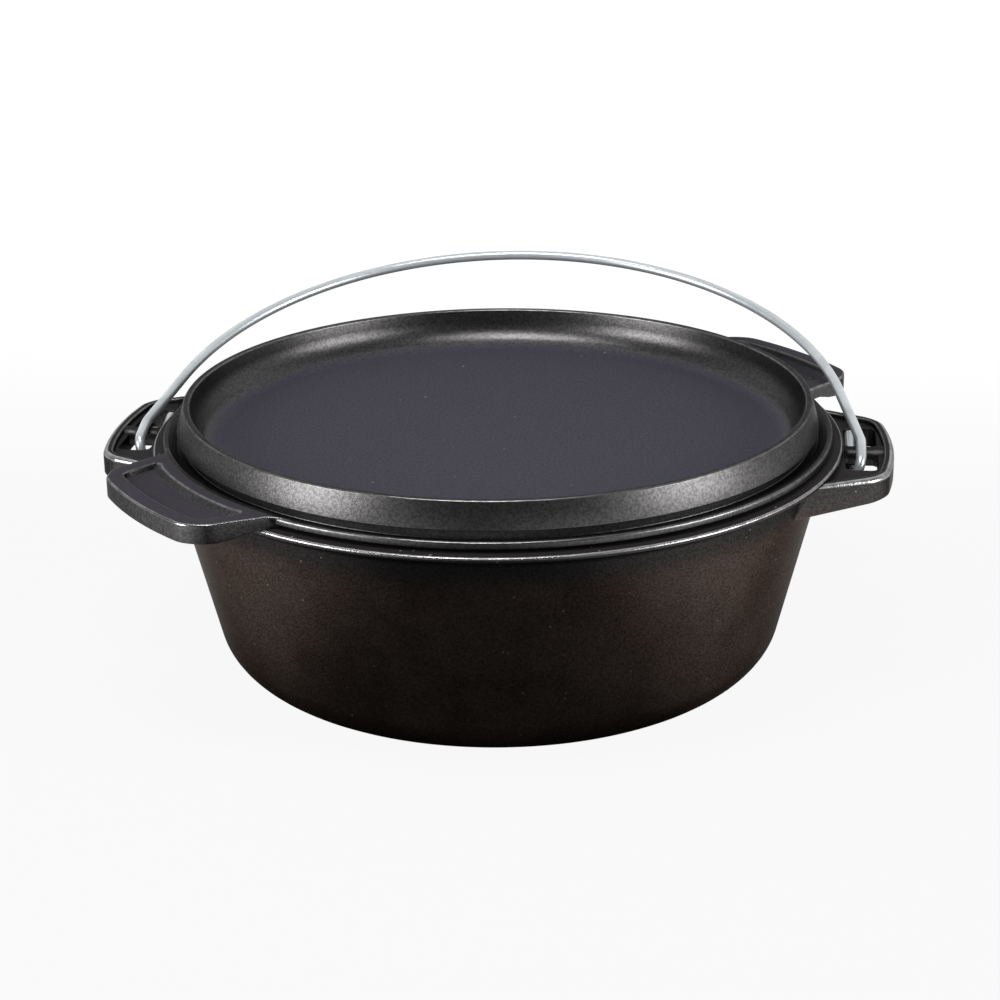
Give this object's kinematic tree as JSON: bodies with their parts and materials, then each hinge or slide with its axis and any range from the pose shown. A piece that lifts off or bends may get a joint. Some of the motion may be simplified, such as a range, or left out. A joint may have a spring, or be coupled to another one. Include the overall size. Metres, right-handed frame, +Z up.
{
  "type": "cast-iron camp oven with lid and wire bail",
  "caption": "Round flat-bottomed cast-iron pot with slotted side lugs, a pan-shaped lug-handled lid that seats in its mouth, and a swinging wire bail hooked into the lugs.",
  "frame": {"origin": "centre of the pot's flat base, on the surface that it stands on", "axes": "+X along the bail's hinge line towards one pot lug, +Y towards the side that the resting bail leans to, +Z up"},
  "size_m": [0.3702, 0.3299, 0.1543],
  "materials": {
    "pot_iron": "seasoned matte, fine sand-cast grain",
    "lid_iron": "seasoned satin, fine sand-cast grain",
    "bail_wire": "bright galvanised wire"
  },
  "bodies": {
    "pot": {"pot": "pot_iron"},
    "lid": {"lid": "lid_iron"},
    "bail": {"bail": "bail_wire"}
  },
  "joints": [
    {"name": "bail_swing", "type": "hinge", "parent": "pot", "child": "bail", "pos_m": [0, 0, 0.1015], "axis": [1, 0, 0], "range_deg": [0, 135]},
    {"name": "lid_tilt", "type": "hinge", "parent": "pot", "child": "lid", "pos_m": [0.12282, 0.10564, 0.1085], "axis": [-0.6521, 0.7581, 0], "range_deg": [0, 20]}
  ]
}
